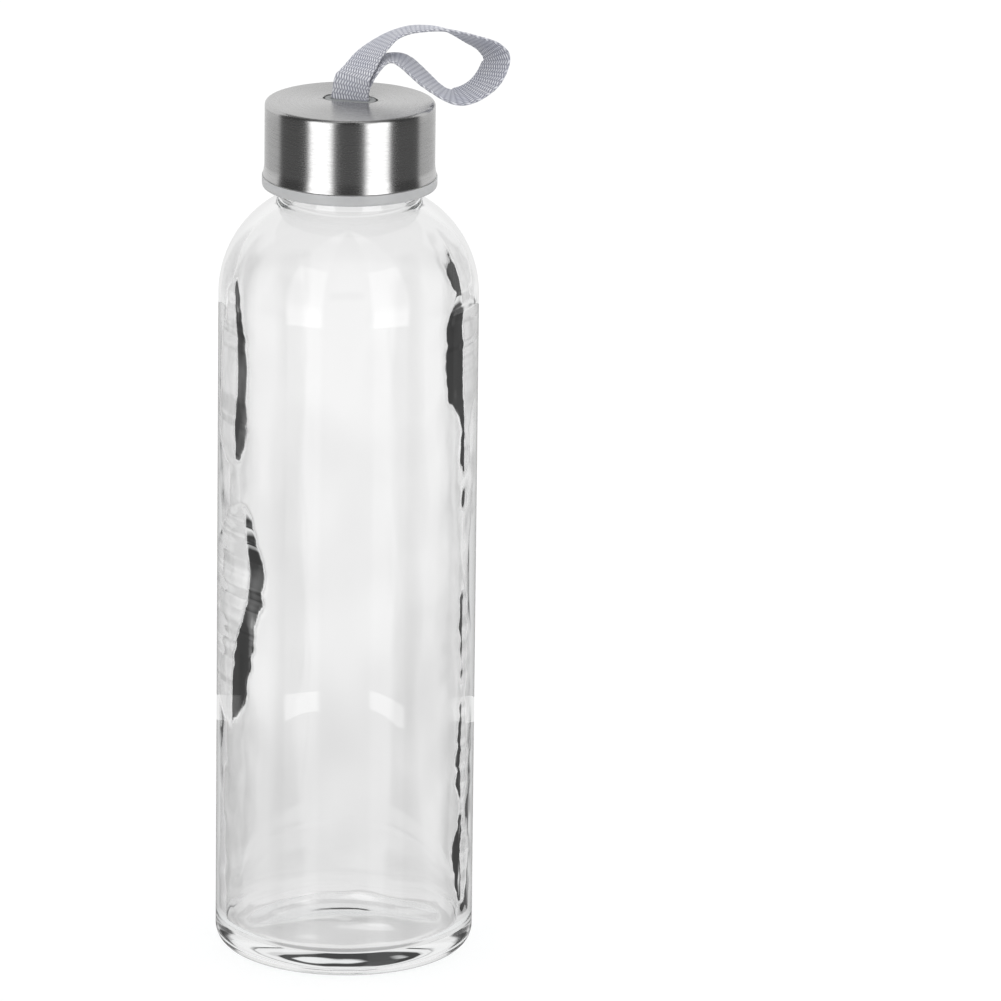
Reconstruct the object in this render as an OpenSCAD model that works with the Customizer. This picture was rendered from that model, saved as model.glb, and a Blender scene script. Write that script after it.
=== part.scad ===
// Glass drinking bottle with a brushed steel screw cap and a webbing carry loop.
// Millimetres, +Z up, origin at the centre of the face that the bottle stands on.

/* [Glass bottle] */
// Outer diameter of the straight wall
body_d = 65.5; // [60:0.5:80]
// Height of the glass, from the standing face to the lip
glass_h = 215; // [170:1:270]
// Thickness of the wall and the shoulder
wall_t = 2.8; // [2:0.1:4]
// Thickness of the floor where it meets the inner heel
floor_t = 6; // [4.5:0.5:9]
// Outer radius of the heel
heel_r = 5; // [3:0.5:8]
// Inner radius between the wall and the floor
inner_heel_r = 7; // [4:0.5:12]
// Height of the hollow under the floor's middle
push_up_h = 2.5; // [1:0.25:3.5]
// Width of the flat ring that the bottle stands on
stand_w = 2.75; // [2:0.25:5]
// Radius of the shoulder's arc
shoulder_r = 27.5; // [22:0.5:29]

/* [Neck] */
// Outer diameter of the neck, without its thread
neck_d = 35.3; // [34:0.1:38]
// Diameter of the mouth
bore_d = 29.4; // [24:0.1:30]
// Length of the straight neck, from its foot to the lip
neck_h = 17.7; // [15:0.1:22]
// Radius of the foot, between neck and shoulder
neck_foot_r = 2; // [1:0.25:3]
// Radius of the lip's two edges
lip_r = 0.9; // [0.4:0.1:1.2]

/* [Thread] */
// Rise of the thread in one full turn
thread_lead = 4.2; // [3.8:0.1:5]
// Length of the thread, in turns
thread_turns = 1.25; // [1:0.25:1.5]
// Height of the ridge above the neck wall
thread_depth = 1.05; // [0.7:0.05:1.3]
// Width of the ridge at its foot
thread_w = 1.9; // [1.4:0.1:2]
// Distance from the lip to the top end of the thread
thread_drop = 4.2; // [3.5:0.1:5]
// Play between the two threads, across the neck
thread_clear = 0.4; // [0.3:0.05:0.6]

/* [Cap] */
// Thickness of the steel
shell_t = 0.5; // [0.4:0.1:0.8]
// Radius of the steel's upper edge
shell_edge_r = 1; // [0.8:0.1:2.5]
// How far the steel flares out at its lower rim
flare_out = 0.4; // [0:0.1:0.8]
// Height of the flare
flare_h = 2.5; // [1:0.25:4]
// Wall of the threaded liner
liner_t = 1.7; // [1.2:0.1:2.5]
// Thickness of the liner's top
liner_top_t = 3.8; // [3.6:0.1:5]
// Height of the liner's visible rim below the steel
rim_h = 2.8; // [2:0.1:5]
// How far the liner's rim stands out past the flared steel
rim_out = 0.2; // [0.1:0.1:1]
// Radius of the rim's lower edge
rim_edge_r = 0.8; // [0.3:0.1:1.2]
// Room between the liner's rim and the foot of the neck
rim_gap = 1.9; // [0.6:0.1:2.4]
// Thickness of the seal ring
seal_t = 1.5; // [1:0.1:2.5]
// Play between the seal ring and the lip
seal_gap = 0.1; // [0.05:0.05:0.3]
// Play between pieces that are nested in the cap
nest_gap = 0.1; // [0.05:0.05:0.2]

/* [Carry loop] */
// Width of the webbing
strap_w = 9.5; // [8:0.1:10.5]
// Thickness of the webbing
strap_t = 0.9; // [0.6:0.1:1.2]
// Room between the two legs of the loop in the slot
leg_gap = 0.4; // [0.2:0.1:0.8]
// Length of the slot in the steel
slot_l = 14.1; // [13:0.1:16]
// Width of the slot in the steel
slot_w = 7.2; // [5.5:0.1:9]
// How far the slot lies behind the cap's axis
slot_back = 2.6; // [0:0.1:5]
// Turn of the slot about the cap's axis, in degrees
slot_turn = -17; // [-45:1:45]
// Length of each folded end under the anchor
tail_l = 5.5; // [3:0.5:6.5]
// Thickness of the anchor's plate
anchor_t = 0.9; // [0.6:0.1:1.2]
// Radius of the anchor's plate
anchor_r = 10; // [9.5:0.1:12]

/* [Hidden] */

$fn = 96;
far = 500;                 // longer than anything here, for cutting away
sink = 0.4;                // how deep a thread's foot lies in the wall behind it

// Glass
body_r = body_d / 2;
inner_r = body_r - wall_t;
neck_r = neck_d / 2;
bore_r = bore_d / 2;
neck_foot_z = glass_h - neck_h;
shoulder_x = body_r - shoulder_r;    // centre of the shoulder's arc, from the axis
shoulder_z = neck_foot_z - sqrt(pow(shoulder_r + neck_foot_r, 2) - pow(neck_r + neck_foot_r - shoulder_x, 2));
stand_r = body_r - heel_r - stand_w;
dome_r = (pow(stand_r, 2) + pow(push_up_h, 2)) / (2 * push_up_h);
throat_r = 2;                        // inner edge between shoulder and mouth

// Thread
thread_top_z = glass_h - thread_drop - thread_w / 2;
thread_z = thread_top_z - thread_turns * thread_lead;
crest_share = 0.5;                   // width of a ridge's crest as a share of its foot
fade = 0.12;                         // share of a ridge over which each end runs out

// Cap, from the lip upward and from the neck outward
seal_z = glass_h + seal_gap;
liner_z = seal_z + seal_t;           // underside of the liner's top
liner_top_z = liner_z + liner_top_t;
cap_top_z = liner_top_z + nest_gap + shell_t;
rim_z = neck_foot_z + rim_gap;
shell_z = rim_z + rim_h;
liner_bore_r = neck_r + thread_depth + thread_clear;
liner_r = liner_bore_r + liner_t;
shell_r = liner_r + nest_gap + shell_t;
rim_r = shell_r + flare_out + rim_out;
seal_in_r = bore_r - 0.3;
seal_out_r = neck_r - 0.25;
recess_r = seal_in_r - 0.2;          // hollow in the liner's underside, inside the seal ring
recess_h = 0.8;

// Strap, inside the cap
leg_y = (strap_t + leg_gap) / 2;     // middle of each leg, from the middle of the slot
anchor_z = liner_top_z - anchor_t;
tail_z = anchor_z - nest_gap - strap_t;
pocket_z = tail_z - nest_gap;
pocket_r = anchor_r + 0.5;
boss_end_gap = 0.5;                  // room at each end of the slot
boss_side_gap = 0.15;
boss_sink = 0.1;                     // how far the boss lies below the steel's face
loop_lift = 0.8;                     // start of the free loop above the cap, clear of its swing
loop_steps = 2;                      // rings of the free loop for each point of its route

// Route of the free loop, from the front leg over the top and back to the rear leg.
// Each entry is a point, from the middle of the slot at the top of the cap, and then
// the direction across the webbing: its turn about Z and its tilt, in degrees.
strap_route = [
    [0.2, -0.6, 4.0, -19, 0],
    [0.9, 0.0, 5.9, -25, 0],
    [2.6, 2.4, 7.9, -35, 1],
    [4.3, 4.4, 10.0, -45, 2],
    [6.5, 6.2, 11.8, -55, 3],
    [10.1, 8.0, 14.2, -72, 4],
    [14.4, 8.8, 15.7, -86, 3],
    [18.9, 9.0, 16.1, -90, 6],
    [22.7, 9.0, 15.9, -88, 11],
    [25.8, 9.2, 15.1, -82, 16],
    [29.8, 9.8, 13.4, -70, 21],
    [34.0, 10.6, 11.3, -50, 18],
    [36.2, 10.4, 8.7, -42, 10],
    [35.6, 8.7, 5.8, -37, 8],
    [33.4, 5.8, 2.9, -36, 2],
    [30.0, 3.2, 1.0, -48, -7],
    [26.6, 1.8, 0.3, -58, -12],
    [23.9, 1.7, 0.9, -72, -12],
    [21.1, 2.4, 2.4, -90, -7],
    [18.8, 3.2, 4.1, -101, -5],
    [16.2, 4.2, 6.3, -103, -5],
    [13.8, 5.0, 8.2, -103, -4],
    [11.4, 5.3, 9.2, -98, -2],
    [8.8, 5.1, 9.2, -82, 0],
    [6.2, 4.2, 8.4, -62, 0],
    [3.3, 2.6, 6.2, -42, 0],
    [1.4, 1.4, 4.0, -28, 0],
    [0.4, 0.8, 2.2, -19, 0]
];

// ---------- helpers ----------

// Fills the corner between an arc about the shoulder's centre and a vertical line
module corner_fill(arc_r, line_r, r) {
    cz = shoulder_z + sqrt(pow(arc_r + r, 2) - pow(line_r + r - shoulder_x, 2));
    touch_x = shoulder_x + (line_r + r - shoulder_x) * arc_r / (arc_r + r);
    touch_z = shoulder_z + (cz - shoulder_z) * arc_r / (arc_r + r);
    difference() {
        polygon([[line_r - 1, cz], [line_r + r, cz], [touch_x, touch_z], [line_r - 1, touch_z - 1]]);
        translate([line_r + r, cz]) circle(r);
    }
}

// Half section of a round vessel: heel, wall, shoulder arc and neck
module vessel_half(r, arc_r, z0, corner_r, tube_r, tube_z, foot_r) {
    translate([0, z0]) square([r - corner_r, shoulder_z - z0]);
    translate([0, z0 + corner_r]) square([r, shoulder_z - z0 - corner_r]);
    translate([r - corner_r, z0 + corner_r]) circle(corner_r);
    intersection() {
        translate([shoulder_x, shoulder_z]) circle(arc_r);
        translate([shoulder_x, shoulder_z - 1]) square([arc_r, arc_r + 1]);
    }
    translate([0, shoulder_z - 1]) square([shoulder_x + 0.01, arc_r + 1]);
    translate([0, shoulder_z]) square([tube_r, tube_z - shoulder_z]);
    corner_fill(arc_r, tube_r, foot_r);
}

// Half section of the lip: a band with both upper edges rounded
module lip_half() {
    translate([bore_r + lip_r, glass_h - lip_r]) circle(lip_r);
    translate([neck_r - lip_r, glass_h - lip_r]) circle(lip_r);
    translate([bore_r + lip_r, glass_h - 2 * lip_r]) square([neck_r - bore_r - 2 * lip_r, 2 * lip_r]);
    translate([bore_r, glass_h - 3 * lip_r]) square([neck_r - bore_r, 2 * lip_r]);
}

// Triangles of a closed tube of n rings with m points each, and its two ends
function tube_faces(n, m) = concat(
    [for (i = [0:n - 2], k = [0:m - 1])
        let (a = i * m + k, b = i * m + (k + 1) % m)
        each [[a, b, b + m], [a, b + m, a + m]]],
    [[for (k = [m - 1:-1:0]) k]],
    [[for (k = [0:m - 1]) (n - 1) * m + k]]
);

// Right-hand helical ridge that grows from root_r to crest_r and fades at both ends
module thread_ridge(root_r, crest_r, z0) {
    steps = ceil(40 * thread_turns);
    foot = thread_w / 2;
    crest = foot * crest_share;
    inward = crest_r < root_r;
    rings = [for (i = [0:steps])
        let (
            f = i / steps,
            a = 360 * thread_turns * f,
            z = z0 + thread_lead * thread_turns * f,
            full = max(0.2, min(1, f / fade, (1 - f) / fade)),
            r = root_r + (crest_r - root_r) * full,
            section = [[root_r, -foot], [r, -crest], [r, crest], [root_r, foot]]
        )
        each [for (k = [0:3])
            let (p = section[inward ? 3 - k : k])
            [p[0] * cos(a), p[0] * sin(a), z + p[1]]]];
    polyhedron(points = rings, faces = tube_faces(steps + 1, 4), convexity = 6);
}

// Places its children on top of the cap, in line with the slot
module at_slot(z) translate([0, slot_back, z]) rotate([0, 0, slot_turn]) children();

// Flat stadium, l long and w wide, h high
module stadium(l, w, h) {
    middle = l - w;
    translate([-middle / 2, -w / 2, 0]) cube([middle, w, h]);
    for (side = [-1, 1]) translate([side * middle / 2, 0, 0]) cylinder(d = w, h = h);
}

// ---------- the loop's route ----------

function unit(v) = v / norm(v);
function across(turn, tilt) = [cos(turn) * cos(tilt), sin(turn) * cos(tilt), sin(tilt)];
function leg_end(side) = [side * leg_y * -sin(slot_turn), side * leg_y * cos(slot_turn), loop_lift, slot_turn, 0];

route = concat([leg_end(-1)], strap_route, [leg_end(1)]);

// Smooth curve through the route: entry i, share t of the way to the next one
function curve(i, t) =
    let (
        last = len(route) - 1,
        a = route[max(i - 1, 0)], b = route[i],
        c = route[min(i + 1, last)], d = route[min(i + 2, last)]
    )
    0.5 * (2 * b + t * (c - a) + t * t * (2 * a - 5 * b + 4 * c - d) + t * t * t * (3 * b - a - 3 * c + d));

loop_line = [for (i = [0:len(route) - 2], j = [0:loop_steps - 1]) curve(i, j / loop_steps), route[len(route) - 1]];

function point_of(e) = [e[0], e[1], e[2]];

// One ring of the webbing: a flat strip with bevelled edges, square to the curve
function strap_ring(i) =
    let (
        last = len(loop_line) - 1,
        p = point_of(loop_line[i]),
        on_end = i == 0 || i == last,
        way = point_of(loop_line[min(i + 1, last)]) - point_of(loop_line[max(i - 1, 0)]),
        along = on_end ? [0, 0, i == 0 ? 1 : -1] : unit(way),
        side = across(loop_line[i][3], loop_line[i][4]),
        w = unit(side - (side * along) * along),
        n = cross(along, w),
        hw = strap_w / 2, ht = strap_t / 2, bevel = ht / 2
    )
    [for (q = [[-hw, bevel], [-hw + bevel, ht], [hw - bevel, ht], [hw, bevel],
               [hw, -bevel], [hw - bevel, -ht], [-hw + bevel, -ht], [-hw, -bevel]])
        p + q[0] * w + q[1] * n];

// ---------- sub-parts ----------

// Bottle blown in one piece, with the thread on its neck
module glass_body() color([0.82, 0.9, 0.89, 0.4]) {
    rotate_extrude() intersection() {
        difference() {
            union() {
                vessel_half(body_r, shoulder_r, 0, heel_r, neck_r, glass_h - 2 * lip_r, neck_foot_r);
                lip_half();
            }
            vessel_half(inner_r, shoulder_r - wall_t, floor_t, inner_heel_r, bore_r, glass_h + 1, throat_r);
            translate([0, push_up_h - dome_r]) circle(dome_r, $fn = 360);
        }
        square([body_r + 1, glass_h + 1]);
    }
    thread_ridge(neck_r - sink, neck_r + thread_depth, thread_z);
}

// Threaded liner with its visible rim below the steel
module cap_liner() color([0.86, 0.87, 0.86]) {
    difference() {
        union() {
            translate([0, 0, rim_z]) cylinder(r = liner_r, h = liner_top_z - rim_z);
            rotate_extrude() {
                edge_x = rim_r - rim_edge_r;
                translate([liner_bore_r - 1, rim_z]) square([edge_x - liner_bore_r + 1, rim_h]);
                translate([liner_bore_r, rim_z + rim_edge_r])
                    square([rim_r - liner_bore_r, rim_h - rim_edge_r]);
                translate([edge_x, rim_z + rim_edge_r]) circle(rim_edge_r);
            }
        }
        translate([0, 0, rim_z - 1]) cylinder(r = liner_bore_r, h = liner_z - rim_z + 1);
        translate([0, 0, liner_z - 1]) cylinder(r = recess_r, h = recess_h + 1);
        translate([0, slot_back, pocket_z]) cylinder(r = pocket_r, h = far);
    }
    thread_ridge(liner_bore_r + sink, neck_r + thread_clear, thread_z - thread_lead / 2);
}

// Deep-drawn steel cup with a slot in its top and a flared lower rim
module cap_shell() color([0.7, 0.7, 0.7]) {
    flare_z = shell_z + flare_h;
    difference() {
        rotate_extrude() {
            difference() {
                union() {
                    translate([0, flare_z]) square([shell_r, cap_top_z - shell_edge_r - flare_z]);
                    translate([0, flare_z]) square([shell_r - shell_edge_r, cap_top_z - flare_z]);
                    translate([shell_r - shell_edge_r, cap_top_z - shell_edge_r]) circle(shell_edge_r);
                    polygon([[0, shell_z], [shell_r + flare_out, shell_z], [shell_r, flare_z], [0, flare_z]]);
                }
                translate([-1, flare_z - 1]) square([shell_r - shell_t + 1, cap_top_z - shell_t - flare_z + 1]);
                polygon([
                    [-1, shell_z - 1], [shell_r - shell_t + flare_out, shell_z - 1],
                    [shell_r - shell_t + flare_out, shell_z], [shell_r - shell_t, flare_z], [-1, flare_z]
                ]);
                translate([-far, 0]) square([far, far]);
            }
        }
        at_slot(cap_top_z - shell_t - 1) stadium(slot_l, slot_w, shell_t + 2);
    }
}

// Soft ring between the lip and the liner
module seal_ring() color([0.93, 0.93, 0.9]) {
    translate([0, 0, seal_z]) difference() {
        cylinder(r = seal_out_r, h = seal_t);
        translate([0, 0, -1]) cylinder(r = seal_in_r, h = seal_t + 2);
    }
}

// Plate under the steel, with a boss that fills the slot around the webbing
module strap_anchor() color([0.55, 0.57, 0.57]) {
    difference() {
        union() {
            translate([0, slot_back, anchor_z]) cylinder(r = anchor_r, h = anchor_t);
            at_slot(anchor_z)
                stadium(slot_l - 2 * boss_end_gap, slot_w - 2 * boss_side_gap, cap_top_z - boss_sink - anchor_z);
        }
        at_slot(0) translate([-strap_w / 2 - 0.3, -leg_y - strap_t / 2 - nest_gap, 0])
            cube([strap_w + 0.6, 2 * leg_y + strap_t + 2 * nest_gap, far]);
    }
}

// The two ends of the webbing: each passes the slot and folds flat under the anchor
module strap_ends() color([0.72, 0.72, 0.78]) {
    for (side = [-1, 1]) at_slot(tail_z) rotate([0, 0, side > 0 ? 0 : 180])
        translate([-strap_w / 2, leg_y - strap_t / 2, 0]) {
            cube([strap_w, strap_t, cap_top_z - tail_z]);
            cube([strap_w, strap_t + tail_l, strap_t]);
        }
}

// Free part of the webbing, one strip from the front leg round to the rear leg
module strap_loop() color([0.66, 0.66, 0.74]) {
    rings = [for (i = [0:len(loop_line) - 1]) each strap_ring(i)];
    translate([0, slot_back, cap_top_z])
        polyhedron(points = rings, faces = tube_faces(len(loop_line), 8), convexity = 8);
}

glass_body();
cap_liner();
cap_shell();
seal_ring();
strap_anchor();
strap_ends();
strap_loop();
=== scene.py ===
"""Glass drinking bottle with a brushed steel screw cap and a webbing carry loop.

Everything is in metres, +Z up, and stands on z = 0 with the front towards -Y.
"""
import math
import bmesh
import bpy
from mathutils import Matrix, Vector, noise


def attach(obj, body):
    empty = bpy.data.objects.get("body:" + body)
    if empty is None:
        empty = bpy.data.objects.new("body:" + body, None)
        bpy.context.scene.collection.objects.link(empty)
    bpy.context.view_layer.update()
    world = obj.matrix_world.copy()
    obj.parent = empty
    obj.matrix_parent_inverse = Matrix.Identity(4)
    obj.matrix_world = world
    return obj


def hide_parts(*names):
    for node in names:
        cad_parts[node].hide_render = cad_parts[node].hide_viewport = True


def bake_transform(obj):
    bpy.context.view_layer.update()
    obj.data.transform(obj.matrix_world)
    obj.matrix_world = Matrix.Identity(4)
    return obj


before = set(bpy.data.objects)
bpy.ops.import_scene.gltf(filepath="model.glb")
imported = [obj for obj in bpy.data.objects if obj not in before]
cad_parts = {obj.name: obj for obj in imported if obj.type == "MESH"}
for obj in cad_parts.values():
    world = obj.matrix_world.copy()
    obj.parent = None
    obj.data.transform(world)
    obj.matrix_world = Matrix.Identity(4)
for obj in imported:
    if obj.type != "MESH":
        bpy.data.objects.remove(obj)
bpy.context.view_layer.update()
bpy.ops.object.select_all(action="DESELECT")

MM = 0.001

# ---------------------------------------------------------------- sizes of the bottle

BODY_R = 32.75
WALL = 2.8
INNER_R = BODY_R - WALL
FLOOR_Z = 6.0
HEEL_R = 5.0
INNER_HEEL_R = 3.2
PUSH_UP = 2.5
STAND_R = 25.0
SHOULDER_R = 27.5
SHOULDER_X = 5.25
SHOULDER_Z = 171.553
NECK_R = 17.65
BORE_R = 14.7
FOOT_R = 2.0
LIP_R = 0.9
GLASS_H = 215.0

THROAT_R = 2.0
FOOT_EDGE = 26.3    # how far out the standing ring is flat
JOIN = 0.7          # rings of vertices this near the ends of the straight wall keep it crisp
WAVE_TOP = 192.0    # the wall is even above this

THREAD_Z = 204.6
THREAD_LEAD = 4.2
THREAD_TURNS = 1.25
THREAD_DEPTH = 1.05
THREAD_FOOT = 0.95
THREAD_CREST = 0.48

CAP_TOP = 221.0
SHELL_Z = 202.0
SHELL_R = 21.4
FLARE_R = 21.8
FLARE_H = 2.5
SHEET = 0.5
EDGE_R = 1.0

SLOT_BACK = 2.6
SLOT_TURN = -17.0
SLOT_L = 14.1
SLOT_W = 7.2

STRAP_W = 9.5
STRAP_T = 0.9
LEG_Y = 0.65
LOOP_LIFT = 0.8


# ---------------------------------------------------------------- camera

def make_camera():
    """Stands a long lens in front of the bottle, looking a little down on it."""
    down = math.radians(16.21)
    roll = math.radians(0.72)
    right = Vector((1.0, 0.0, 0.0))
    ahead = Vector((0.0, math.cos(down), -math.sin(down)))
    up = right.cross(ahead)
    cam_right = right * math.cos(roll) + up * math.sin(roll)
    cam_up = up * math.cos(roll) - right * math.sin(roll)
    turn = Matrix((cam_right, cam_up, -ahead)).transposed()
    bpy.ops.object.camera_add()
    camera = bpy.context.object
    camera.name = "camera"
    camera.matrix_world = Matrix.Translation((0.0388, -2.425, 0.8225)) @ turn.to_4x4()
    camera.data.lens = 359.2
    camera.data.sensor_width = 36.0
    camera.data.clip_end = 20.0
    bpy.context.scene.camera = camera
    camera.select_set(False)


make_camera()
bpy.context.scene.view_settings.view_transform = "Standard"


# ---------------------------------------------------------------- node helpers

def new_material(name):
    """A material with an empty tree and its output node."""
    made = bpy.data.materials.new(name)
    made.use_nodes = True
    tree = made.node_tree
    tree.nodes.clear()
    return made, tree, tree.nodes.new("ShaderNodeOutputMaterial")


def add(tree, kind, **settings):
    """Adds a node. Settings are its properties."""
    node = tree.nodes.new(kind)
    for key, value in settings.items():
        setattr(node, key, value)
    return node


def fill(node, **values):
    """Sets a node's inputs by name, with _ for a space."""
    for key, value in values.items():
        node.inputs[key.replace("_", " ")].default_value = value
    return node


def maths(tree, operation, a, b=0.0):
    """A Math node, whose inputs are numbers or sockets."""
    node = tree.nodes.new("ShaderNodeMath")
    node.operation = operation
    for place, value in enumerate((a, b)):
        if isinstance(value, bpy.types.NodeSocket):
            tree.links.new(value, node.inputs[place])
        else:
            node.inputs[place].default_value = value
    return node.outputs[0]


def ramp(tree, value, stops, smooth="LINEAR"):
    """A colour ramp with its stops as (place, colour), a colour being a grey or three numbers."""
    node = tree.nodes.new("ShaderNodeValToRGB")
    node.color_ramp.interpolation = smooth
    points = node.color_ramp.elements
    while len(points) < len(stops):
        points.new(0.5)
    for point, (place, colour) in zip(points, stops):
        point.position = place
        shade = (colour,) * 3 if isinstance(colour, float) else colour
        point.color = (*shade, 1.0)
    tree.links.new(value, node.inputs[0])
    return node.outputs[0]


def mixed(tree, share, a, b, blend="MIX"):
    """A colour mix, whose parts are sockets, numbers or colours."""
    node = tree.nodes.new("ShaderNodeMix")
    node.data_type = "RGBA"
    node.blend_type = blend
    for place, value in ((0, share), (6, a), (7, b)):
        if isinstance(value, bpy.types.NodeSocket):
            tree.links.new(value, node.inputs[place])
        elif isinstance(value, float):
            node.inputs[place].default_value = value if place == 0 else (value, value, value, 1.0)
        else:
            node.inputs[place].default_value = (*value, 1.0)
    return node.outputs[2]


def product(tree, a, b):
    """Two colours multiplied."""
    return mixed(tree, 1.0, a, b, "MULTIPLY")


def lighter(tree, a, b):
    """The lighter of two colours, channel by channel."""
    return mixed(tree, 1.0, a, b, "LIGHTEN")


def between(tree, value, low, high):
    """1 where a value is between two numbers, and 0 elsewhere."""
    return maths(tree, "MULTIPLY", maths(tree, "GREATER_THAN", value, low),
                 maths(tree, "LESS_THAN", value, high))


def clouds(tree, place, **values):
    """A noise pattern read at a place."""
    node = fill(add(tree, "ShaderNodeTexNoise"), **values)
    tree.links.new(place, node.inputs["Vector"])
    return node.outputs["Fac"]


def bumped(tree, height, strength, distance):
    """A normal that follows a height."""
    node = fill(add(tree, "ShaderNodeBump"), Strength=strength, Distance=distance)
    tree.links.new(height, node.inputs["Height"])
    return node.outputs["Normal"]


def wire(tree, shader, **sources):
    """Links sources to a shader's inputs by name, with _ for a space. Gives its output."""
    for key, source in sources.items():
        tree.links.new(source, shader.inputs[key.replace("_", " ")])
    return shader.outputs[0]


def shader_mix(tree, share, a, b):
    """The first shader where the share is 0, and the second where it is 1."""
    node = add(tree, "ShaderNodeMixShader")
    for place, source in enumerate((share, a, b)):
        tree.links.new(source, node.inputs[place])
    return node.outputs[0]


# ---------------------------------------------------------------- carry loop

# The middle line of the free webbing: x, y and height from the middle of the slot, in mm,
# then how far its width is turned about the vertical and tilted, in degrees
ROUTE = [
    (0.2, -0.6, 4.0, -19, 0),
    (0.9, 0.0, 5.9, -25, 0),
    (2.6, 2.4, 7.9, -35, 1),
    (4.3, 4.4, 10.0, -45, 2),
    (6.5, 6.2, 11.8, -55, 3),
    (10.1, 8.0, 14.2, -72, 4),
    (14.4, 8.8, 15.7, -86, 3),
    (18.9, 9.0, 16.1, -90, 6),
    (22.7, 9.0, 15.9, -88, 11),
    (25.8, 9.2, 15.1, -82, 16),
    (29.8, 9.8, 13.4, -70, 21),
    (34.0, 10.6, 11.3, -50, 18),
    (36.2, 10.4, 8.7, -42, 10),
    (35.6, 8.7, 5.8, -37, 8),
    (33.4, 5.8, 2.9, -36, 2),
    (30.0, 3.2, 1.0, -48, -7),
    (26.6, 1.8, 0.3, -58, -12),
    (23.9, 1.7, 0.9, -72, -12),
    (21.1, 2.4, 2.4, -90, -7),
    (18.8, 3.2, 4.1, -101, -5),
    (16.2, 4.2, 6.3, -103, -5),
    (13.8, 5.0, 8.2, -103, -4),
    (11.4, 5.3, 9.2, -98, -2),
    (8.8, 5.1, 9.2, -82, 0),
    (6.2, 4.2, 8.4, -62, 0),
    (3.3, 2.6, 6.2, -42, 0),
    (1.4, 1.4, 4.0, -28, 0),
    (0.4, 0.8, 2.2, -19, 0),
]
ROW = 1.15          # length of one row of the weave, along the webbing
STITCH = 0.73       # width of one stitch, across it
ROW_RINGS = 6       # rings of vertices in one row
PER_STITCH = 4      # vertices in one stitch
STITCH_RELIEF = 0.10
SELVEDGE = 0.07     # how far the edge pulls in between rows


def in_slot(side, depth, out=0.0):
    """A point of one leg in the slot, depth above the cap's top and out from its place."""
    turn = math.radians(SLOT_TURN)
    far = side * (LEG_Y + out)
    return (-far * math.sin(turn), far * math.cos(turn), depth, SLOT_TURN, 0)


# One folded end, as (out from the leg, height above the cap's top), from its tip to the slot
FOLD = [(5.9, -2.05), (4.4, -2.05), (2.9, -2.05), (1.6, -2.05), (0.75, -2.02),
        (0.2, -1.8), (0.02, -1.3), (0.0, -0.6), (0.0, 0.1)]


def smooth_line(points, parts):
    """Points on the smooth curve through the given ones, parts to each gap."""
    made = []
    last = len(points) - 1
    for i in range(last):
        a, b = points[max(i - 1, 0)], points[i]
        c, d = points[i + 1], points[min(i + 2, last)]
        for step in range(parts):
            t = step / parts
            made.append(tuple(
                0.5 * (2 * q + t * (r - p) + t * t * (2 * p - 5 * q + 4 * r - s)
                       + t ** 3 * (3 * q - p - 3 * r + s))
                for p, q, r, s in zip(a, b, c, d)))
    made.append(tuple(float(x) for x in points[last]))
    return made


def even_steps(line, gap):
    """The same line with a point every gap."""
    run = [0.0]
    for a, b in zip(line, line[1:]):
        run.append(run[-1] + (Vector(b[:3]) - Vector(a[:3])).length)
    count = max(2, round(run[-1] / gap))
    made, i = [], 0
    for k in range(count + 1):
        at = run[-1] * k / count
        while i < len(line) - 2 and run[i + 1] < at:
            i += 1
        t = (at - run[i]) / max(run[i + 1] - run[i], 1e-9)
        made.append(tuple(p + (q - p) * t for p, q in zip(line[i], line[i + 1])))
    return made, run[-1]


def stitch_height(u, v):
    """Height of the weave, 0 to 1, at u across and v along: leaning stitches in rows."""
    row = math.floor(v / ROW)
    up = v / ROW - row - 0.5
    lean = 0.5 if row % 2 else -0.5
    across = u / STITCH + lean * up + 0.5 * (row % 2)
    side = across - math.floor(across) - 0.5
    return math.cos(math.pi * side) ** 0.8 * (0.72 + 0.28 * math.cos(math.pi * up))


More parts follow.
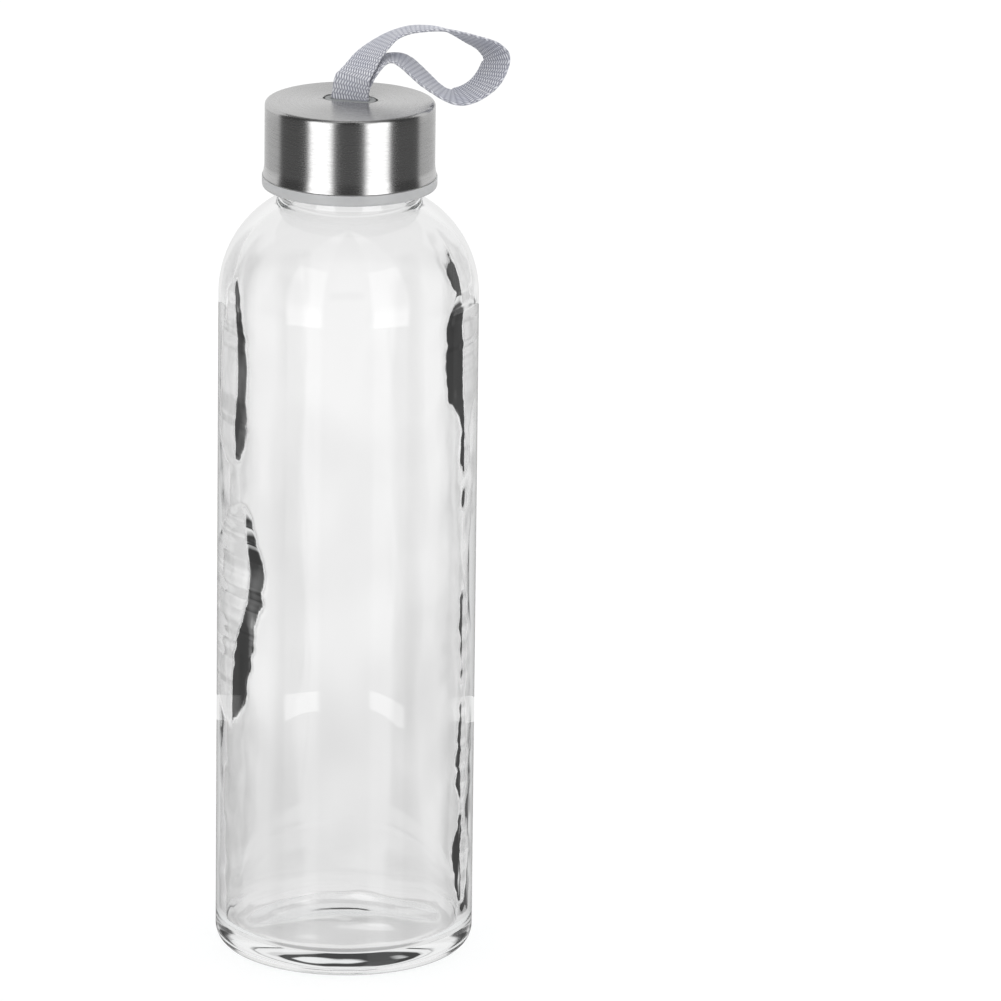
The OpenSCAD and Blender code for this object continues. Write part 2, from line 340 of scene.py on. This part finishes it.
def webbing(name, line):
    """A woven strip along a line of (x, y, z, turn, tilt), from the middle of the slot."""
    rings, length = even_steps(line, ROW / ROW_RINGS)
    half = STRAP_W / 2
    columns = round(STRAP_W / STITCH) * PER_STITCH
    base = Vector((0.0, SLOT_BACK, CAP_TOP))
    bm = bmesh.new()
    height = bm.verts.layers.float.new("stitch")
    uv = bm.loops.layers.uv.new("weave")
    places, grid = {}, []
    for i, here in enumerate(rings):
        ahead = Vector(rings[min(i + 1, len(rings) - 1)][:3])
        back = Vector(rings[max(i - 1, 0)][:3])
        along = (ahead - back).normalized()
        turn, tilt = math.radians(here[3]), math.radians(here[4])
        side = Vector((math.cos(turn) * math.cos(tilt), math.sin(turn) * math.cos(tilt),
                       math.sin(tilt)))
        across = (side - along * side.dot(along)).normalized()
        face = along.cross(across)
        v = length * i / (len(rings) - 1)
        edge = half - SELVEDGE + SELVEDGE * abs(math.cos(math.pi * v / ROW))
        ring = []
        for top in (1, -1):
            stagger_u, stagger_v = (0.0, 0.0) if top > 0 else (STITCH / 2, ROW / 2)
            for k in range(columns):
                share = -1 + 2 * k / columns
                if top < 0:
                    share = -share
                u = share * edge
                rise = stitch_height(u + stagger_u, v + stagger_v)
                round_off = math.sqrt(max(0.0, 1 - abs(share) ** 9))
                lift = (STRAP_T / 2 - STITCH_RELIEF + STITCH_RELIEF * rise) * round_off
                place = base + Vector(here[:3]) + across * u + face * (top * lift)
                vert = bm.verts.new(place * MM)
                # the stitch height also sets the painted gap shade and crest highlight of the
                # webbing's colour; the rounded edges keep 0.55 or more so they are not painted
                # dark
                vert[height] = max(rise, 0.55 * (1 - round_off))
                places[vert] = (u if top > 0 else u + 3 * STRAP_W, v)
                ring.append(vert)
        grid.append(ring)
    for a, b in zip(grid, grid[1:]):
        for k in range(len(a)):
            n = (k + 1) % len(a)
            bm.faces.new((a[k], a[n], b[n], b[k]))
    bm.faces.new(list(reversed(grid[0])))
    bm.faces.new(grid[-1])
    for f in bm.faces:
        f.smooth = True
        for loop in f.loops:
            loop[uv].uv = Vector(places[loop.vert]) * 0.1
    bmesh.ops.recalc_face_normals(bm, faces=bm.faces[:])
    mesh = bpy.data.meshes.new(name)
    bm.to_mesh(mesh)
    bm.free()
    made = bpy.data.objects.new(name, mesh)
    bpy.context.scene.collection.objects.link(made)
    return made


def woven_grey():
    """Silky grey polyester webbing, its colour painted with shade in the gaps between stitches,
    dark navy, and with highlight on their crests, near white.
    """
    made, tree, out = new_material("silver_grey_webbing")
    coords = add(tree, "ShaderNodeTexCoord")
    weave = add(tree, "ShaderNodeUVMap", uv_map="weave")
    stitch = add(tree, "ShaderNodeAttribute", attribute_name="stitch")
    # painted shade and painted highlight: the stitch height turns the grey dark navy in the gaps
    # and near white on the crests
    thread_grey_painted_shade_highlight = ramp(tree, stitch.outputs["Fac"], [
        (0.0, (0.06, 0.065, 0.11)), (0.4, (0.26, 0.265, 0.31)),
        (0.72, (0.54, 0.545, 0.585)), (1.0, (0.90, 0.905, 0.92))])
    patches = clouds(tree, coords.outputs["Object"], Scale=160.0, Detail=2.0)
    tone = ramp(tree, patches, [(0.3, (0.80, 0.82, 0.90)), (0.7, (1.0, 1.0, 1.0))])
    stretch = fill(add(tree, "ShaderNodeMapping"), Scale=(300.0, 18.0, 1.0))
    tree.links.new(weave.outputs["UV"], stretch.inputs["Vector"])
    filaments = clouds(tree, stretch.outputs["Vector"], Scale=1.0, Detail=1.0)
    shader = fill(add(tree, "ShaderNodeBsdfPrincipled"), Sheen_Weight=0.35, Sheen_Roughness=0.4)
    fill(shader, Sheen_Tint=(0.85, 0.88, 1.0, 1.0), Specular_IOR_Level=0.5)
    finish = wire(
        tree, shader, Base_Color=mixed(tree, 0.6, thread_grey_painted_shade_highlight, tone, "MULTIPLY"),
        Roughness=ramp(tree, filaments, [(0.3, 0.36), (0.7, 0.52)]),
        Normal=bumped(tree, filaments, 0.35, 0.00004))
    tree.links.new(finish, out.inputs[0])
    return made


front_end = [in_slot(-1, height, out) for out, height in FOLD]
rear_end = [in_slot(1, height, out) for out, height in reversed(FOLD)]
loop_route = [*front_end, in_slot(-1, LOOP_LIFT), *ROUTE, in_slot(1, LOOP_LIFT), *rear_end]
loop_points = smooth_line(loop_route, 16)
webbing_finish = woven_grey()
carry_loop = webbing("carry_loop", loop_points)
carry_loop.data.materials.append(webbing_finish)
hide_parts("strap_loop", "strap_ends")

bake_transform(carry_loop)


# ---------------------------------------------------------------- turned pieces

def arc(cx, cz, r, start, end, steps):
    """Points on an arc, angles in degrees, both ends included."""
    made = []
    for i in range(steps + 1):
        a = math.radians(start + (end - start) * i / steps)
        made.append((cx + r * math.cos(a), cz + r * math.sin(a)))
    return made


def straight(r0, z0, r1, z1, steps):
    """Points between two others, without either end."""
    return [(r0 + (r1 - r0) * i / steps, z0 + (z1 - z0) * i / steps) for i in range(1, steps)]


def turned(name, section, steps=192, closed=True):
    """Spins a section of (radius, height) about the axis. An open one has both ends on it."""
    bpy.ops.object.select_all(action="DESELECT")
    bpy.ops.mesh.primitive_circle_add(vertices=len(section), radius=1.0, fill_type="NOTHING")
    made = bpy.context.object
    made.name = name
    made.data.name = name
    bpy.ops.object.mode_set(mode="EDIT")
    bm = bmesh.from_edit_mesh(made.data)
    bm.verts.ensure_lookup_table()
    for vert, (r, z) in zip(bm.verts, section):
        vert.co = Vector((r, 0.0, z)) * MM
    if not closed:
        ends = {bm.verts[0], bm.verts[len(section) - 1]}
        bmesh.ops.delete(bm, geom=[e for e in bm.edges if set(e.verts) == ends], context="EDGES")
    bmesh.update_edit_mesh(made.data)
    bpy.ops.mesh.select_all(action="SELECT")
    bpy.ops.mesh.spin(steps=steps, dupli=False, angle=math.tau, center=(0, 0, 0), axis=(0, 0, 1))
    bpy.ops.mesh.select_all(action="SELECT")
    bpy.ops.mesh.remove_doubles(threshold=1e-6)
    bpy.ops.mesh.normals_make_consistent(inside=False)
    bpy.ops.object.mode_set(mode="OBJECT")
    return made


def smooth_shaded(obj, degrees=40):
    """Smooth faces, with edges over that angle kept sharp."""
    bpy.ops.object.select_all(action="DESELECT")
    obj.select_set(True)
    bpy.context.view_layer.objects.active = obj
    bpy.ops.object.shade_smooth_by_angle(angle=math.radians(degrees))
    obj.select_set(False)


# ---------------------------------------------------------------- glass bottle

def glass_sections():
    """The outer and the inner line of the glass, from the axis outward and back to it."""
    dome_r = (STAND_R ** 2 + PUSH_UP ** 2) / (2 * PUSH_UP)
    dome_end = math.degrees(math.asin(STAND_R / dome_r))
    outer = arc(0.0, PUSH_UP - dome_r, dome_r, 90, 90 - dome_end, 12)
    outer += [(FOOT_EDGE, 0.0)]
    outer += arc(BODY_R - HEEL_R, HEEL_R, HEEL_R, -90, 0, 12)
    outer += [(BODY_R, HEEL_R + JOIN)]
    outer += straight(BODY_R, HEEL_R + JOIN, BODY_R, SHOULDER_Z - JOIN, 8)
    outer += [(BODY_R, SHOULDER_Z - JOIN)]
    reach = SHOULDER_R + FOOT_R
    foot_x = NECK_R + FOOT_R
    foot_z = SHOULDER_Z + math.sqrt(reach ** 2 - (foot_x - SHOULDER_X) ** 2)
    touch = math.degrees(math.atan2(foot_z - SHOULDER_Z, foot_x - SHOULDER_X))
    outer += arc(SHOULDER_X, SHOULDER_Z, SHOULDER_R, 0, touch, 26)
    outer += arc(foot_x, foot_z, FOOT_R, 180 + touch, 180, 6)[1:]
    outer += straight(NECK_R, foot_z, NECK_R, GLASS_H - LIP_R, 56)
    outer += arc(NECK_R - LIP_R, GLASS_H - LIP_R, LIP_R, 0, 90, 6)
    inner = arc(BORE_R + LIP_R, GLASS_H - LIP_R, LIP_R, 90, 180, 6)
    inner_arc = SHOULDER_R - WALL
    throat_x = BORE_R + THROAT_R
    throat_z = SHOULDER_Z + math.sqrt((inner_arc + THROAT_R) ** 2 - (throat_x - SHOULDER_X) ** 2)
    touch = math.degrees(math.atan2(throat_z - SHOULDER_Z, throat_x - SHOULDER_X))
    inner += straight(BORE_R, GLASS_H - LIP_R, BORE_R, throat_z, 8)
    inner += arc(throat_x, throat_z, THROAT_R, 180, 180 + touch, 6)
    inner += arc(SHOULDER_X, SHOULDER_Z, inner_arc, touch, 0, 28)[1:]
    inner += straight(INNER_R, SHOULDER_Z, INNER_R, FLOOR_Z + INNER_HEEL_R, 156)
    inner += arc(INNER_R - INNER_HEEL_R, FLOOR_Z + INNER_HEEL_R, INNER_HEEL_R, 0, -90, 14)
    inner += straight(INNER_R - INNER_HEEL_R, FLOOR_Z, 0.0, FLOOR_Z, 14)
    inner += [(0.0, FLOOR_Z)]
    return outer, inner


# Long folds in the inside of the blown wall, which catch the light at the bottle's edges.
# Each is its side, then (height, near, far) down the fold, near and far being how far out
# from the middle plane its steep flank starts and ends, as seen from the front.
FOLDS = [
    (1, [(195, 27.0, 27.3), (189, 26.0, 29.4), (183, 25.4, 29.2), (179, 26.6, 29.2),
         (175.5, 27.6, 29.0), (173, 27.0, 28.6), (171, 25.0, 29.2), (160, 24.7, 29.6),
         (148, 25.1, 29.7), (144.5, 27.4, 29.8), (141, 28.8, 29.8), (128, 29.2, 29.8),
         (114, 29.6, 29.8)]),
    (1, [(104, 29.5, 29.8), (88, 28.5, 29.6), (74, 29.3, 29.8), (52, 28.2, 29.5),
         (40, 29.2, 29.8), (30, 27.8, 29.7), (22, 28.4, 29.8), (14, 29.3, 29.8)]),
    (-1, [(178, 28.4, 28.8), (171, 26.4, 28.0), (163, 25.2, 27.8), (149, 24.8, 27.8),
          (140, 24.6, 28.6), (135, 25.6, 28.4), (131, 27.6, 28.2)]),
    (-1, [(120, 25.0, 25.6), (113, 22.0, 25.6), (103, 19.6, 25.0), (96, 20.4, 25.6),
          (89, 22.2, 27.0), (81, 23.2, 28.8), (70, 24.4, 29.0), (65, 26.2, 28.8),
          (62, 28.2, 28.6)]),
]
INDEX = 1.5              # of the glass
STEEP = 0.0268           # slope a flank needs for each mm inside the last place light gets through
LAST_PLACE = 30.1
SPARE_SLOPE = 0.07       # slope a flank has beyond what it needs
BACK_SLOPE = 0.10        # slope of a fold's other side
FLANK_STEP = 0.1
RAGGED = 0.8             # how far a flank's near edge wanders


def round_to(seen):
    """Angle forward of the side at which a place seen that far out lies on the inner face."""
    turn = math.asin(seen / BODY_R) + math.asin(seen / (INDEX * INNER_R))
    return math.pi / 2 - turn + math.asin(seen / (INDEX * BODY_R))


def flank_line():
    """A flank's height against the angle forward of the side, from the edge inwards."""
    line, reached = [], 0.0
    for k in range(121):
        seen = 30.0 - FLANK_STEP * k
        here = round_to(seen)
        if line:
            slope = STEEP * (LAST_PLACE - seen) + SPARE_SLOPE
            reached += INNER_R * (here - line[-1][0]) * slope
        line.append((here, reached))
    return line


FLANK = flank_line()


def flank_rise(out):
    """How much a flank has risen between an angle and the last place light gets through."""
    place = (out - FLANK[0][0]) / (FLANK[-1][0] - FLANK[0][0])
    if place <= 0:
        return 0.0
    for (a, low), (b, high) in zip(FLANK, FLANK[1:]):
        if out <= b:
            return low + (high - low) * (out - a) / (b - a)
    return FLANK[-1][1]


def along_fold(stops, z):
    """The near and far places of a fold's flank at a height, or None past its ends."""
    for (z1, near1, far1), (z2, near2, far2) in zip(stops, stops[1:]):
        if z2 <= z <= z1:
            t = (z1 - z) / (z1 - z2)
            return near1 + (near2 - near1) * t, far1 + (far2 - far1) * t
    return None


def fold_depth(x, y, z):
    """How far the folds bring the inner face inward, in mm, at a point in mm."""
    depth = 0.0
    out = math.atan2(-y, abs(x))
    for side, stops in FOLDS:
        if x * side <= 0 or out < -0.9:
            continue
        place = along_fold(stops, z)
        if place is None:
            continue
        near, far = place
        jag = (noise.noise(Vector((z / 1.7, side * 3.3, 0.5)))
               + noise.noise(Vector((z / 5.0, side * 7.7, 4.5))))
        start = round_to(min(near + RAGGED * jag, far))
        end = round_to(far)
        if out >= start:
            continue
        gain = flank_rise(start) - flank_rise(max(out, end))
        if out < end:
            gain -= BACK_SLOPE * INNER_R * (end - out)
        depth += max(0.0, gain)
    return depth


def wall_wave(x, y, z):
    """How far the inner face of the wall stands in, in mm, at a point on it in mm."""
    slow = noise.noise(Vector((x / 17.0, y / 17.0, z / 42.0)))
    quick = noise.noise(Vector((x / 8.0 + 11.0, y / 8.0 + 5.0, z / 19.0 + 3.0)))
    ragged = noise.noise(Vector((x / 3.0 + 2.0, y / 3.0 + 7.0, z / 6.0 + 1.0)))
    edge = min(1.0, max(0.0, (abs(x) - 20.0) / 8.0))
    return 0.40 * slow + 0.12 * quick + 0.05 * ragged * edge + fold_depth(x, y, z)


def thread_rise(x, y, z):
    """Height of the neck's thread at a point on the neck, in mm."""
    turn = math.atan2(y, x) / math.tau % 1.0
    best = 0.0
    for lap in (0, 1):
        run = turn + lap
        if run > THREAD_TURNS:
            continue
        off = abs(z - (THREAD_Z + THREAD_LEAD * run))
        fade = min(1.0, run / (0.12 * THREAD_TURNS), (THREAD_TURNS - run) / (0.12 * THREAD_TURNS))
        share = min(1.0, max(0.0, (THREAD_FOOT - off) / (THREAD_FOOT - THREAD_CREST)))
        best = max(best, share * share * (3 - 2 * share) * max(0.0, fade))
    return THREAD_DEPTH * best


def make_glass():
    """The bottle: turned, then its inner wall made wavy, and its thread raised."""
    outer, inner = glass_sections()
    made = turned("glass_bottle", outer + inner, steps=256, closed=False)
    inner_lines = {(round(r, 3), round(z, 3)) for r, z in inner}
    for vert in made.data.vertices:
        x, y, z = vert.co / MM
        r = math.hypot(x, y)
        if r < 1e-3:
            continue
        if (round(r, 3), round(z, 3)) in inner_lines:
            if FLOOR_Z + 0.01 < z < WAVE_TOP:
                low = min(1.0, (z - FLOOR_Z) / 8.0)
                high = min(1.0, (WAVE_TOP - z) / 14.0)
                r_new = r - wall_wave(x, y, z) * low * high
                vert.co = Vector((x * r_new / r, y * r_new / r, z)) * MM
            elif abs(z - FLOOR_Z) < 0.01:
                swell = noise.noise(Vector((x / 11.0, y / 11.0, 7.7)))
                vert.co.z = (z + 0.35 * swell * min(1.0, (23.5 - r) / 6.0)) * MM
        elif z > 200.0 and abs(r - NECK_R) < 0.01:
            r_new = r + thread_rise(x, y, z)
            vert.co = Vector((x * r_new / r, y * r_new / r, z)) * MM
    smooth_shaded(made, 50)
    return made


def clear_glass():
    """Clear soda glass with the faint ripple of a blown wall. Lamps shine through it."""
    made, tree, out = new_material("clear_bottle_glass")
    coords = add(tree, "ShaderNodeTexCoord")
    stretch = fill(add(tree, "ShaderNodeMapping"), Scale=(1.0, 1.0, 0.35))
    tree.links.new(coords.outputs["Object"], stretch.inputs["Vector"])
    ripple = clouds(tree, stretch.outputs["Vector"], Scale=55.0, Detail=1.0, Roughness=0.4)
    smear = clouds(tree, coords.outputs["Object"], Scale=25.0, Detail=3.0)
    shader = fill(add(tree, "ShaderNodeBsdfPrincipled"), Transmission_Weight=1.0, IOR=1.5)
    fill(shader, Base_Color=(0.99, 0.99, 0.99, 1.0))
    glass = wire(tree, shader, Roughness=ramp(tree, smear, [(0.45, 0.0), (0.8, 0.012)]),
                 Normal=bumped(tree, ripple, 0.12, 0.0004))
    path = add(tree, "ShaderNodeLightPath")
    clear = fill(add(tree, "ShaderNodeBsdfTransparent"), Color=(0.97, 0.975, 0.975, 1.0))
    lamps = maths(tree, "MAXIMUM", path.outputs["Is Shadow Ray"], path.outputs["Is Diffuse Ray"])
    # light caught in the wall gets out of it after three turns
    caught = maths(tree, "GREATER_THAN", path.outputs["Glossy Depth"], 2.5)
    open_to_light = maths(tree, "MAXIMUM", lamps, caught)
    tree.links.new(shader_mix(tree, open_to_light, glass, clear.outputs[0]), out.inputs[0])
    return made


glass_bottle = make_glass()
glass_bottle.data.materials.append(clear_glass())
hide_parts("glass_body")
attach(glass_bottle, "bottle")


# ---------------------------------------------------------------- steel cap

def make_steel_cup():
    """Drawn steel cup, with a rounded upper edge, a flared hem and the slot in its top."""
    inner_r = SHELL_R - SHEET
    under = CAP_TOP - SHEET
    section = [(0.0, CAP_TOP)]
    section += straight(0.0, CAP_TOP, SHELL_R - EDGE_R, CAP_TOP, 12)
    section += arc(SHELL_R - EDGE_R, CAP_TOP - EDGE_R, EDGE_R, 90, 0, 10)
    section += straight(SHELL_R, CAP_TOP - EDGE_R, SHELL_R, SHELL_Z + FLARE_H + 0.6, 8)
    bend = 8
    for i in range(bend + 1):
        t = i / bend
        section.append((SHELL_R + (FLARE_R - SHELL_R) * t * t * (1.6 - 0.6 * t),
                        SHELL_Z + 0.25 + (FLARE_H + 0.35) * (1 - t)))
    section += arc(FLARE_R - 0.25, SHELL_Z + 0.25, 0.25, -10, -170, 8)
    section += [(FLARE_R - SHEET, SHELL_Z + 0.25), (inner_r, SHELL_Z + FLARE_H)]
    section += straight(inner_r, SHELL_Z + FLARE_H, inner_r, under, 4)
    section += [(inner_r, under)]
    section += straight(inner_r, under, 0.0, under, 10)
    section += [(0.0, under)]
    cup = turned("steel_cap", section, closed=False)
    middle = SLOT_L - SLOT_W
    bpy.ops.mesh.primitive_cylinder_add(vertices=64, radius=SLOT_W / 2 * MM, depth=6 * MM)
    cutter = bpy.context.object
    turn = Matrix.Rotation(math.radians(SLOT_TURN), 4, "Z")
    for vert in cutter.data.vertices:
        if abs(vert.co.x) > 1e-7:
            vert.co.x += math.copysign(middle / 2 * MM, vert.co.x)
    cutter.data.transform(Matrix.Translation(Vector((0.0, SLOT_BACK, CAP_TOP)) * MM) @ turn)
    bpy.context.view_layer.objects.active = cup
    cut = cup.modifiers.new("slot", "BOOLEAN")
    cut.operation = "DIFFERENCE"
    cut.object = cutter
    cut.solver = "EXACT"
    bpy.ops.object.select_all(action="DESELECT")
    cup.select_set(True)
    bpy.ops.object.modifier_apply(modifier="slot")
    bpy.data.objects.remove(cutter)
    bpy.ops.object.mode_set(mode="EDIT")
    bpy.ops.mesh.select_mode(type="EDGE")
    bpy.ops.mesh.select_all(action="DESELECT")
    bm = bmesh.from_edit_mesh(cup.data)
    for edge in bm.edges:
        if len(edge.link_faces) == 2 and edge.calc_face_angle() > 1.2:
            flat = [v.co / MM - Vector((0.0, SLOT_BACK, CAP_TOP)) for v in edge.verts]
            if all(abs(v.z) < 0.01 and v.length < 8.0 for v in flat):
                edge.select = True
    bmesh.update_edit_mesh(cup.data)
    bpy.ops.mesh.bevel(offset=0.16 * MM, segments=3, affect="EDGES")
    bpy.ops.object.mode_set(mode="OBJECT")
    smooth_shaded(cup, 30)
    return cup


def grain_lines(tree, level, x, y, fine, along, **values):
    """Noise drawn out along the brushing: fine across it, and slow along it."""
    place = add(tree, "ShaderNodeCombineXYZ")
    for k, (part, scale) in enumerate(((level, fine), (x, along), (y, along))):
        tree.links.new(maths(tree, "MULTIPLY", part, scale), place.inputs[k])
    return clouds(tree, place.outputs[0], Scale=1.0, **values)


def brushed_steel():
    """Stainless steel brushed round and round, so that its grain runs level on the side."""
    made, tree, out = new_material("brushed_steel")
    coords = add(tree, "ShaderNodeTexCoord")
    parts = add(tree, "ShaderNodeSeparateXYZ")
    tree.links.new(coords.outputs["Object"], parts.inputs[0])
    x, y, z = parts.outputs
    squares = maths(tree, "ADD", maths(tree, "MULTIPLY", x, x), maths(tree, "MULTIPLY", y, y))
    radius = maths(tree, "SQRT", squares)
    level = maths(tree, "ADD", radius, z)
    grain = grain_lines(tree, level, x, y, 5200.0, 260.0, Detail=3.0, Roughness=0.6)
    coarse = grain_lines(tree, level, x, y, 2600.0, 90.0, Detail=2.0)
    both = mixed(tree, 0.45, grain, coarse)
    colour = ramp(tree, both, [(0.25, (0.53, 0.527, 0.525)), (0.5, (0.60, 0.598, 0.596)),
                               (0.75, (0.67, 0.669, 0.668))])
    grain_way = add(tree, "ShaderNodeTangent", direction_type="RADIAL", axis="Z")
    shader = fill(add(tree, "ShaderNodeBsdfPrincipled"), Metallic=1.0, Anisotropic=0.75)
    fill(shader, Anisotropic_Rotation=0.25)
    steel = wire(tree, shader, Base_Color=colour, Tangent=grain_way.outputs[0],
                 Roughness=ramp(tree, both, [(0.25, 0.285), (0.75, 0.255)]),
                 Normal=bumped(tree, both, 0.03, 0.00003))
    tree.links.new(steel, out.inputs[0])
    return made


steel_cap = make_steel_cup()
steel_cap.data.materials.append(brushed_steel())
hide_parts("cap_shell")
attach(steel_cap, "cap")


# ---------------------------------------------------------------- liner, seal and anchor

def moulded(name, colour, dark, rough, glow=0.0):
    """Moulded plastic: a little mottled, with a fine skin."""
    made, tree, out = new_material(name)
    coords = add(tree, "ShaderNodeTexCoord")
    cloud = clouds(tree, coords.outputs["Object"], Scale=90.0, Detail=3.0)
    skin = clouds(tree, coords.outputs["Object"], Scale=900.0, Detail=2.0)
    shader = fill(add(tree, "ShaderNodeBsdfPrincipled"), Subsurface_Weight=glow)
    fill(shader, Subsurface_Radius=(1.0, 1.0, 0.9), Subsurface_Scale=0.002)
    plastic = wire(
        tree, shader, Base_Color=ramp(tree, cloud, [(0.3, dark), (0.7, colour)]),
        Roughness=ramp(tree, skin, [(0.3, rough - 0.06), (0.7, rough + 0.06)]),
        Normal=bumped(tree, skin, 0.15, 0.00004))
    tree.links.new(plastic, out.inputs[0])
    return made


def refinish(node, material):
    """Gives a CAD node another material."""
    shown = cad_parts[node]
    shown.data.materials.clear()
    shown.data.materials.append(material)


refinish("cap_liner", moulded("milky_liner_plastic", (0.53, 0.535, 0.54),
                              (0.49, 0.495, 0.50), 0.38, 0.35))
refinish("seal_ring", moulded("white_silicone", (0.80, 0.80, 0.78),
                              (0.74, 0.74, 0.72), 0.55, 0.2))
refinish("strap_anchor", moulded("grey_anchor_plastic", (0.30, 0.31, 0.31),
                                 (0.25, 0.26, 0.26), 0.42))


# ---------------------------------------------------------------- floor and light

def make_floor():
    """A pale floor that only shows from above."""
    bpy.ops.object.select_all(action="DESELECT")
    bpy.ops.mesh.primitive_plane_add(size=30.0)
    floor = bpy.context.object
    floor.name = "floor"
    made, tree, out = new_material("pale_floor")
    shader = fill(add(tree, "ShaderNodeBsdfDiffuse"), Color=(0.93, 0.93, 0.93, 1.0))
    clear = add(tree, "ShaderNodeBsdfTransparent")
    facing = add(tree, "ShaderNodeNewGeometry")
    pale = shader_mix(tree, facing.outputs["Backfacing"], shader.outputs[0], clear.outputs[0])
    tree.links.new(pale, out.inputs[0])
    floor.data.materials.append(made)
    floor.visible_glossy = False
    floor.visible_transmission = False
    floor.select_set(False)


def make_light():
    """A white studio: mirrored light, light that came through glass, and the rest differ."""
    world = bpy.data.worlds.new("studio")
    bpy.context.scene.world = world
    world.use_nodes = True
    tree = world.node_tree
    tree.nodes.clear()
    out = tree.nodes.new("ShaderNodeOutputWorld")
    coords = add(tree, "ShaderNodeTexCoord")
    parts = add(tree, "ShaderNodeSeparateXYZ")
    tree.links.new(coords.outputs["Generated"], parts.inputs[0])
    x, y, z = parts.outputs
    # share of half a turn from the front, 0 at -Y and 1 at +Y, and of a quarter turn up
    around = maths(tree, "ARCTAN2", x, maths(tree, "MULTIPLY", y, -1.0))
    side = maths(tree, "DIVIDE", maths(tree, "ABSOLUTE", around), math.pi)
    up = maths(tree, "DIVIDE", maths(tree, "ARCSINE", z), math.pi / 2)
    rise = maths(tree, "ADD", maths(tree, "MULTIPLY", up, 0.5), 0.5)
    dark, box, back = 0.012, 1.0, 0.25
    bands = ramp(tree, side, [
        (0.0, dark), (0.112, dark), (0.14, box), (0.295, box), (0.318, dark), (0.58, dark),
        (0.61, back), (1.0, back)])
    height = ramp(tree, rise, [
        (0.0, 0.30), (0.30, 0.30), (0.395, 0.22), (0.41, 0.27), (0.42, 0.30), (0.70, 0.25),
        (0.88, 0.25), (0.92, 0.7), (1.0, 0.7)])
    # the boxes' sharp edges, and a thin strip of light below them, are finer than a ramp
    boxes = between(tree, rise, 0.4162, 0.7215)
    strip = maths(tree, "MULTIPLY", between(tree, rise, 0.4029, 0.4037), 0.95)
    height = lighter(tree, height, maths(tree, "MAXIMUM", boxes, strip))
    # the boxes are dimmer above the middle, so that they don't burn out the cap's flat top
    upper = ramp(tree, rise, [(0.0, 1.0), (0.47, 1.0), (0.53, 0.5), (1.0, 0.5)])
    by_box = ramp(tree, side, [(0.0, 0.0), (0.112, 0.0), (0.14, 1.0), (0.295, 1.0), (0.318, 0.0),
                               (1.0, 0.0)])
    bands = product(tree, bands, mixed(tree, by_box, 1.0, upper))
    low_glow = ramp(tree, rise, [(0.0, 0.045), (0.42, 0.04), (0.45, 0.0), (1.0, 0.0)])
    gloss = lighter(tree, product(tree, bands, height), low_glow)
    gloss_light = fill(add(tree, "ShaderNodeBackground"), Strength=3.2)
    tree.links.new(gloss, gloss_light.inputs["Color"])
    # what shows through the glass: pale, greyer low down, with dark flags off to the sides
    from_middle = maths(tree, "ABSOLUTE", maths(tree, "SUBTRACT", side, 0.5))
    flags = ramp(tree, from_middle, [
        (0.0, 0.9), (0.07, 0.9), (0.10, 0.22), (0.14, 0.06), (0.20, 0.045), (0.235, 0.12),
        (0.26, 1.0), (1.0, 1.0)])
    flag_height = ramp(tree, rise, [(0.0, 0.0), (0.33, 0.0), (0.36, 1.0), (0.62, 1.0), (0.67, 0.0),
                                    (1.0, 0.0)])
    # light that goes straight through both walls, from whichever side, misses the flags
    path = add(tree, "ShaderNodeLightPath")
    bounced = maths(tree, "GREATER_THAN", path.outputs["Glossy Depth"], 0.5)
    few_faces = maths(tree, "LESS_THAN", path.outputs["Transmission Depth"], 3.5)
    turned_away = maths(tree, "MAXIMUM", bounced, few_faces)
    flagged = mixed(tree, maths(tree, "MULTIPLY", flag_height, turned_away), 1.0, flags)
    fade = ramp(tree, rise, [
        (0.0, 0.45), (0.17, 0.45), (0.22, 0.82), (0.36, 0.80), (0.3995, 0.78), (0.405, 0.87),
        (0.409, 0.92), (0.4145, 0.975), (0.42, 0.94), (0.435, 0.87), (0.49, 0.85), (0.55, 0.92),
        (1.0, 1.0)])
    # a low dark card behind, which only light turned in the base can see
    card = ramp(tree, rise, [(0.0, 1.0), (0.552, 1.0), (0.56, 0.8), (0.57, 0.7), (0.578, 0.0),
                             (0.614, 0.0), (0.622, 1.0), (1.0, 1.0)])
    card_width = ramp(tree, from_middle, [(0.0, 1.0), (0.42, 1.0), (0.45, 0.0), (1.0, 0.0)])
    carded = lighter(tree, lighter(tree, card, card_width), 0.07)
    flagged = product(tree, flagged, carded)
    through_light = fill(add(tree, "ShaderNodeBackground"), Strength=1.0)
    tree.links.new(product(tree, flagged, fade), through_light.inputs["Color"])
    soft_light = fill(add(tree, "ShaderNodeBackground"), Strength=1.12)
    fill(soft_light, Color=(1.0, 1.0, 1.0, 1.0))
    mirrored = shader_mix(tree, path.outputs["Is Glossy Ray"], soft_light.outputs[0],
                          gloss_light.outputs[0])
    deep = maths(tree, "GREATER_THAN", path.outputs["Ray Depth"], 2.5)
    through = maths(tree, "MAXIMUM", path.outputs["Is Transmission Ray"], deep)
    tree.links.new(shader_mix(tree, through, mirrored, through_light.outputs[0]), out.inputs[0])


make_floor()
make_light()
